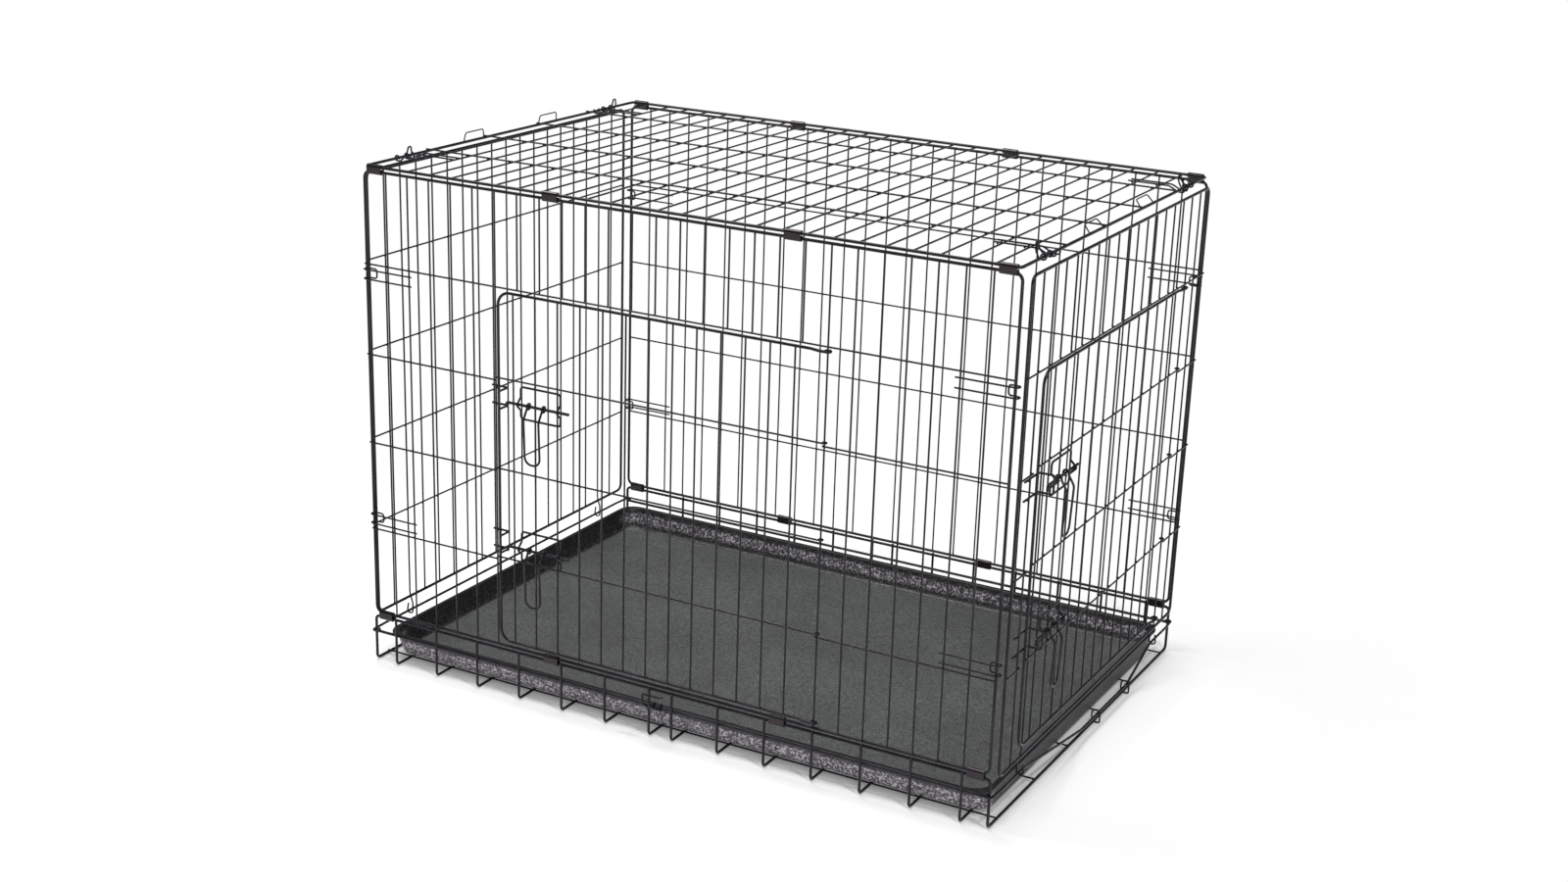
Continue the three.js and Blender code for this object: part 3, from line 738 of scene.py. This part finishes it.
class CAGE_OT_pulls(bpy.types.Operator):
    """Bends up the four hairpin pulls that hang on the bolts."""

    bl_idname = "cage.pulls"
    bl_label = "Pulls"

    def execute(self, context):
        wires = rig()[0]
        gauge = wires.latch_gauge
        ring = wires.rod_gauge / 2 + gauge / 2 + RUNNING
        half, length = 0.013, 0.085
        for name, door in DOORS.items():
            edge = door["columns"][door["first"]] + door["gap"]
            for row, level in BOLTS.items():
                bm = bmesh.new()
                leg = [(-ring, 0), (-ring, -0.003), (-0.0120, -0.0175), (-0.0055, -length)]
                down = [(-half, y, z) for y, z in leg]
                path = [*down, *[(half, y, z) for y, z in reversed(leg)]]
                bends = [0.004, 0.012, 0.0115, 0.0115, 0.012, 0.004]
                wire(bm, path, gauge, bends, start=(X, ring, EYE_TURN), end=(-X, ring, EYE_TURN))
                lean = Matrix.Rotation(math.radians(-3), 4, "X")
                where = Matrix.Translation((edge + PULL_INSET, -BOLT_OUT, level))
                place = FACES[door["face"]] @ where @ lean
                body = f"{name}_{row}_pull"
                piece(bm, f"{name}_{row}_hairpin", body, [coat_finish()], [body], place)
        return {"FINISHED"}


# ---------------------------------------------------------------- base, straps and hooks


class CAGE_OT_base(bpy.types.Operator):
    """Bends up the basket that holds the tray: rails, feet, floor wires and the low wires at the ends."""

    bl_idname = "cage.base"
    bl_label = "Base"

    def execute(self, context):
        wires = rig()[0]
        bm = bmesh.new()
        high, low, ground = 0.075, 0.049, 0.0030
        ring = [(-BASE, -DEPTH, high), (BASE, -DEPTH, high), (BASE, -DEPTH, ground), (BASE, DEPTH, ground),
                (BASE, DEPTH, high), (-BASE, DEPTH, high), (-BASE, DEPTH, ground), (-BASE, -DEPTH, ground)]
        wire(bm, ring, wires.frame_gauge, 0.0065, closed=True)
        plane = DEPTH + 0.0028
        for y in (-DEPTH, DEPTH):
            wire(bm, [(-BASE, y, low), (BASE, y, low)], wires.frame_gauge)
        for i in (*range(1, 14, 2), *range(14, 27, 2)):
            x = SIDE_COLUMNS[i]
            path = [(x, -plane, high + 0.002), (x, -plane, 0.002),
                    (x, plane, 0.002), (x, plane, high + 0.002)]
            wire(bm, path, wires.foot_gauge, wires.foot_bend)
            for y in (-plane, plane):
                for z in (high, low):
                    bead(bm, (x, y * 0.995, z), wires.weld * 1.15)
        for share in (0.461, 0.2715, 0.096):
            for y in (-2 * DEPTH * share, 2 * DEPTH * share):
                wire(bm, [(-BASE - 0.001, y, 0.0055), (BASE + 0.001, y, 0.0055)], wires.mesh_gauge)
        for side in (-1, 1):
            self.low_wire(bm, side)
        piece(bm, "base_wires", "base", [coat_finish()], ["base_grid"])
        return {"FINISHED"}

    def low_wire(self, bm, side):
        """The wire that an end turns on, curled round the corner uprights. It bows at the end with a door."""
        wires = rig()[0]
        x, z, eye = side * END_PLANE, 0.0505, 0.0046
        near = side * (BASE + eye)
        bow = [(x, -0.255, z), (x, -0.030, 0.017), (x, 0.160, 0.017), (x, 0.255, z)] if side > 0 else []
        path = [(near, -DEPTH, z), (x, -DEPTH + 0.03, z), *bow, (x, DEPTH - 0.03, z), (near, DEPTH, z)]
        turn = math.radians(250)
        wire(bm, path, wires.foot_gauge, 0.03, start=(Z * side, eye, turn), end=(Z * side, eye, turn))
        if side > 0:
            for y in (0.037, 0.161):
                tie = [(0.5185, y, 0.0005), (0.5315, y, 0.0005), (0.5315, y, 0.0205), (0.5185, y, 0.0205)]
                wire(bm, [(a, b, c + 0.001) for a, b, c in tie], wires.hook_gauge, 0.006, closed=True)


class CAGE_OT_straps(bpy.types.Operator):
    """Bends the sixteen straps round the pairs of rails that they hinge together."""

    bl_idname = "cage.straps"
    bl_label = "Hinge straps"

    def execute(self, context):
        bore, wall, length = 0.00306, 0.001, 0.025
        radius = bore + wall / 2
        for level, upper, body in (("base", SIDE_ROWS[0], "base"), ("roof", ROOF_LEVEL, "roof")):
            lower = upper - 0.007
            for row, y in (("front", -DEPTH), ("back", DEPTH)):
                inward = 1 if y < 0 else -1
                for number, gap in enumerate((0, 8, 18, 26), start=1):
                    x = (SIDE_COLUMNS[gap] + SIDE_COLUMNS[gap + 1]) / 2
                    bm = bmesh.new()
                    middle = (upper + lower) / 2 + 0.0003
                    start = (x, y + inward * radius, middle)
                    strip = Bender(bm, start, Z, wall, strip=(X, length))
                    strip.run(upper - middle)
                    strip.bend(X * inward, math.pi, radius)
                    strip.run(upper - lower)
                    strip.bend(X * inward, math.pi, radius)
                    strip.run(middle - lower - 0.0006)
                    node = f"{level}_clip_{row}_{number}"
                    made = piece(bm, f"{level}_strap_{row}_{number}", body, [strap_finish()], [node])
                    soft = made.modifiers.new("edges", "BEVEL")
                    soft.width, soft.segments, soft.limit_method = 0.00025, 2, "ANGLE"
                    soft.angle_limit = math.radians(50)
        return {"FINISHED"}


class CAGE_OT_hooks(bpy.types.Operator):
    """Bends the four links that tie the roof to the ends, and the hook for carrying the folded cage."""

    bl_idname = "cage.hooks"
    bl_label = "Hooks"

    def execute(self, context):
        wires = rig()[0]
        gauge = wires.hook_gauge
        eye = wires.frame_gauge / 2 + gauge / 2 + RUNNING
        for end, side in (("right", 1), ("left", -1)):
            for number in (1, 2):
                pivot = PIVOTS[f"roof_hook_{end}_{number}_turn"]
                bm = bmesh.new()
                half, foot = 0.011, 0.003
                leg = [(0, -half, eye), (0.006, -half, eye), (0.0135, -0.006, -0.006),
                       (0.0145, -foot, -0.0172)]
                path = [*leg, *[(a, -b, c) for a, b, c in reversed(leg)]]
                wire(bm, path, gauge, [0.004, 0.01, 0.0028, 0.0028, 0.01, 0.004],
                     start=(Y, eye, EYE_TURN), end=(-Y, eye, EYE_TURN))
                hang = Matrix.Identity(4) if side > 0 else Matrix.Rotation(math.pi, 4, "Z")
                place = Matrix.Translation(pivot) @ Matrix.Rotation(math.pi, 4, "Y") @ hang
                body = f"roof_hook_{end}_{number}"
                piece(bm, f"roof_link_{end}_{number}", body, [coat_finish()], [body], place)
        bm = bmesh.new()
        gauge = wires.latch_gauge
        eye = wires.frame_gauge / 2 + gauge / 2 + RUNNING
        half = 0.0056
        reach, top = 0.0076, 0.0446
        arm = [(0, -eye, 0), (0, -0.0058, 0.030), (0, -0.0045, 0.036), (0, reach, top)]
        first = [(a - half, b, c) for a, b, c in arm]
        finger = [(0.0235, reach, top), (0.0286, reach + 0.001, top + 0.004)]
        wire(bm, [*first, *finger], gauge, [0.02, 0.004, 0.0035, 0.004], start=(-X, eye, EYE_TURN))
        second = [(a + half, b, c) for a, b, c in arm]
        wire(bm, second, gauge, [0.02, 0.004], start=(-X, eye, EYE_TURN))
        bead(bm, (half, reach, top), gauge * 0.7)
        lean = Matrix.Rotation(math.radians(55), 4, "X")
        place = Matrix.Translation(PIVOTS["carry_hook_turn"]) @ lean
        piece(bm, "carrying_hook", "carry_hook", [coat_finish()], ["carry_hook"], place)
        return {"FINISHED"}


# ---------------------------------------------------------------- tray


class CAGE_OT_tray(bpy.types.Operator):
    """Moulds the tray: a flared tub with a turned lip and rounded corners."""

    bl_idname = "cage.tray"
    bl_label = "Tray"

    def execute(self, context):
        tray = context.scene.cage_tray
        half_x, half_y = tray.length / 2, tray.width / 2
        wall_x, wall_y = half_x - tray.lip, half_y - tray.lip
        inner_x, inner_y = wall_x - tray.wall, wall_y - tray.wall
        foot, rim, floor = tray.foot, tray.rim, tray.foot + tray.wall
        profile = [
            (wall_x - 0.0060, wall_y - 0.0170, foot),
            (wall_x - 0.0035, wall_y - 0.0140, foot + 0.0012),
            (wall_x - 0.0025, wall_y - 0.0120, foot + 0.004),
            (wall_x - 0.0005, wall_y - 0.0012, rim - 0.008),
            (wall_x, wall_y, rim - 0.0052),
            (half_x - 0.0007, half_y - 0.0007, rim - 0.0050),
            (half_x, half_y, rim - 0.0040),
            (half_x, half_y, rim - 0.0014),
            (half_x - 0.0006, half_y - 0.0006, rim - 0.0003),
            (half_x - 0.0018, half_y - 0.0018, rim),
            (inner_x + 0.0012, inner_y + 0.0012, rim),
            (inner_x + 0.0002, inner_y + 0.0002, rim - 0.0005),
            (inner_x - 0.0003, inner_y - 0.001, rim - 0.003),
            (inner_x - 0.0022, inner_y - 0.0105, floor + 0.0070),
            (inner_x - 0.0040, inner_y - 0.0130, floor + 0.0028),
            (inner_x - 0.0075, inner_y - 0.0170, floor + 0.0006),
            (inner_x - 0.0130, inner_y - 0.0230, floor),
        ]
        bm = bmesh.new()
        x, y, z = profile[0]
        place = Matrix.Translation((0, 0, z)) @ Matrix.Diagonal((2 * x, 2 * y, 1, 1))
        made = bmesh.ops.create_grid(bm, x_segments=1, y_segments=1, size=0.5, matrix=place)
        bmesh.ops.bevel(bm, geom=made["verts"], offset=tray.corner - 0.017, offset_type="OFFSET", segments=9,
                        profile=0.5, affect="VERTICES", material=-1)
        tip = bm.faces[:][0]
        for wide, deep, level in profile[1:]:
            grown = bmesh.ops.extrude_face_region(bm, geom=whole(tip))["geom"]
            verts = [g for g in grown if isinstance(g, bmesh.types.BMVert)]
            tip = next(g for g in grown if isinstance(g, bmesh.types.BMFace))
            bmesh.ops.scale(bm, verts=verts, vec=(wide / x, deep / y, 1))
            bmesh.ops.translate(bm, verts=verts, vec=(0, 0, level - z))
            x, y, z = wide, deep, level
        bm.normal_update()
        for face in bm.faces:
            centre = face.calc_center_median()
            if centre.z > rim - 0.009:
                face.material_index = 3
            elif abs(face.normal.z) > 0.9:
                face.material_index = 0
            else:
                # Inner walls take the darker copy of the wall plastic: painted shade
                face.material_index = 1 if face.normal.x * centre.x + face.normal.y * centre.y > 0 else 2
        tones = context.scene.cage_finishes
        # The outer wall carries the painted highlight and its band of painted light; the inner wall is a
        # darker copy of the same plastic, painted shade inside the tub, with its own weaker painted band
        outside = tray_wall_finish("grained tray wall with painted light", tones.tray_wall, tones.grain_highlight, 0.0, 0.030)
        inside = tray_wall_finish("inner tray wall in painted shade", [c * 0.3 for c in tones.tray_wall],
                                  [c * 0.55 for c in tones.grain_highlight], 0.022, 0.034)
        finishes = [tray_floor_finish(), outside, inside, tray_rim_finish()]
        piece(bm, "tray_tub", "tray", finishes, ["tray"])
        return {"FINISHED"}


# ---------------------------------------------------------------- stage


class CAGE_OT_stage(bpy.types.Operator):
    """Sets up the pale floor, the soft light and the camera."""

    bl_idname = "cage.stage"
    bl_label = "Stage"

    def execute(self, context):
        scene = context.scene
        stage = scene.cage_stage
        bm = bmesh.new()
        bmesh.ops.create_grid(bm, x_segments=1, y_segments=1, size=stage.floor)
        mesh = bpy.data.meshes.new("studio_floor")
        bm.to_mesh(mesh)
        bm.free()
        floor = bpy.data.objects.new("studio_floor", mesh)
        scene.collection.objects.link(floor)
        mesh.materials.append(self.floor_finish())
        self.sky(scene)
        for name, place, aim, width, power in (
            ("softbox_top", (-0.7, -0.1, 2.2), (0.1, -0.1, 0), 1.3, stage.lamp * 1.6),
            ("lamp_front", (1.7, -2.3, 0.55), (0.4, -0.4, 0.05), 0.5, stage.lamp * 0.35),
            ("glint", (2.0, -1.2, 3.2), (0, 0, 0.4), 0.2, stage.lamp * 1.2),
        ):
            lamp = bpy.data.lights.new(name, "AREA")
            lamp.energy, lamp.size = power, width
            stand = bpy.data.objects.new(name, lamp)
            stand.location = place
            stand.rotation_mode = "QUATERNION"
            stand.rotation_quaternion = (Vector(aim) - Vector(place)).to_track_quat("-Z", "Y")
            scene.collection.objects.link(stand)
        self.camera(scene)
        scene.view_settings.view_transform = "Standard"
        return {"FINISHED"}

    def floor_finish(self):
        """White paper that keeps the shadow and shows white to the camera and in reflections."""
        material = bpy.data.materials.new("white paper floor")
        material.use_nodes = True
        tree = material.node_tree
        tree.nodes.remove(tree.nodes["Principled BSDF"])
        rays = tree.nodes.new("ShaderNodeLightPath")
        paper = tree.nodes.new("ShaderNodeBsdfDiffuse")
        paper.inputs["Color"].default_value = (0.92, 0.92, 0.925, 1)
        glow = tree.nodes.new("ShaderNodeEmission")
        both = tree.nodes.new("ShaderNodeMixShader")
        seen = tree.nodes.new("ShaderNodeMath")
        seen.operation = "MAXIMUM"
        where = tree.nodes.new("ShaderNodeTexCoord")
        away = tree.nodes.new("ShaderNodeVectorMath")
        away.operation = "LENGTH"
        fade = tree.nodes.new("ShaderNodeMapRange")
        fade.interpolation_type = "SMOOTHSTEP"
        for key, value in (("From Min", 0.5), ("From Max", 1.25), ("To Min", 0.15), ("To Max", 1.0)):
            fade.inputs[key].default_value = value
        lift = tree.nodes.new("ShaderNodeMath")
        lift.operation = "MULTIPLY"
        tree.links.new(where.outputs["Object"], away.inputs[0])
        tree.links.new(away.outputs["Value"], fade.inputs["Value"])
        tree.links.new(fade.outputs["Result"], lift.inputs[1])
        tree.links.new(rays.outputs["Is Camera Ray"], seen.inputs[0])
        tree.links.new(rays.outputs["Is Glossy Ray"], seen.inputs[1])
        tree.links.new(seen.outputs["Value"], lift.inputs[0])
        tree.links.new(lift.outputs["Value"], both.inputs["Fac"])
        tree.links.new(paper.outputs["BSDF"], both.inputs[1])
        tree.links.new(glow.outputs["Emission"], both.inputs[2])
        tree.links.new(both.outputs["Shader"], tree.nodes["Material Output"].inputs["Surface"])
        return material

    def sky(self, scene):
        """A white world: full white to the camera and through glass, softer as light, dimmer still in
        reflections.
        """
        world = bpy.data.worlds.new("white studio")
        scene.world = world
        world.use_nodes = True
        tree = world.node_tree
        rays = tree.nodes.new("ShaderNodeLightPath")
        seen = tree.nodes.new("ShaderNodeMath")
        seen.operation = "MAXIMUM"
        level = tree.nodes.new("ShaderNodeMapRange")
        level.inputs["To Min"].default_value = scene.cage_stage.sky
        level.inputs["To Max"].default_value = 1.0
        tree.links.new(rays.outputs["Is Camera Ray"], seen.inputs[0])
        tree.links.new(rays.outputs["Is Transmission Ray"], seen.inputs[1])
        tree.links.new(seen.outputs["Value"], level.inputs["Value"])
        dim = tree.nodes.new("ShaderNodeMapRange")
        dim.inputs["To Min"].default_value = 1.0
        dim.inputs["To Max"].default_value = 0.3
        tree.links.new(rays.outputs["Is Glossy Ray"], dim.inputs["Value"])
        out = tree.nodes.new("ShaderNodeMath")
        out.operation = "MULTIPLY"
        tree.links.new(level.outputs["Result"], out.inputs[0])
        tree.links.new(dim.outputs["Result"], out.inputs[1])
        back = tree.nodes["Background"]
        back.inputs["Color"].default_value = (1, 1, 1, 1)
        tree.links.new(out.outputs["Value"], back.inputs["Strength"])

    def camera(self, scene):
        """The camera stands to the right of the front, a little above the roof."""
        data = bpy.data.cameras.new("camera")
        data.sensor_width = 36.0
        data.lens = LENS_PIXELS / PICTURE_PIXELS * data.sensor_width
        data.shift_x, data.shift_y = -0.02657, -0.00191
        data.clip_end = 60
        stand = bpy.data.objects.new("camera", data)
        right = Vector((0.882358, 0.469101, 0.037261))
        up = Vector((-0.177902, 0.259221, 0.949292))
        turned = Matrix((right, up, right.cross(up))).transposed()
        stand.matrix_world = Matrix.Translation((1.520215, -2.815657, 1.418669)) @ turned.to_4x4()
        scene.collection.objects.link(stand)
        scene.camera = stand


class CAGE_PT_panel(bpy.types.Panel):
    """Lists the steps that build the cage, with the sizes that may be changed."""

    bl_idname = "CAGE_PT_panel"
    bl_label = "Pet Cage"
    bl_space_type = "VIEW_3D"
    bl_region_type = "UI"
    bl_category = "Pet Cage"

    def draw(self, context):
        layout = self.layout
        for group in (context.scene.cage_wires, context.scene.cage_tray, context.scene.cage_finishes,
                      context.scene.cage_stage):
            for key in group.__annotations__:
                layout.prop(group, key)
        for step in STEPS:
            layout.operator(step.bl_idname)


GROUPS = {
    "cage_wires": WireSizes,
    "cage_tray": TraySizes,
    "cage_finishes": Finishes,
    "cage_stage": StageSizes,
}
STEPS = (CAGE_OT_base, CAGE_OT_tray, CAGE_OT_sides, CAGE_OT_ends, CAGE_OT_roof, CAGE_OT_doors,
         CAGE_OT_bolts, CAGE_OT_pulls, CAGE_OT_straps, CAGE_OT_hooks, CAGE_OT_stage)


def register():
    """Adds the settings, the steps and the panel."""
    for name, group in GROUPS.items():
        bpy.utils.register_class(group)
        setattr(bpy.types.Scene, name, bpy.props.PointerProperty(type=group))
    for step in (*STEPS, CAGE_PT_panel):
        bpy.utils.register_class(step)


def unregister():
    """Takes them out again."""
    for step in reversed((*STEPS, CAGE_PT_panel)):
        bpy.utils.unregister_class(step)
    for name, group in GROUPS.items():
        delattr(bpy.types.Scene, name)
        bpy.utils.unregister_class(group)


def main():
    """Runs every step."""
    register()
    for step in STEPS:
        group, action = step.bl_idname.split(".")
        getattr(getattr(bpy.ops, group), action)()


if __name__ == "__main__":
    main()
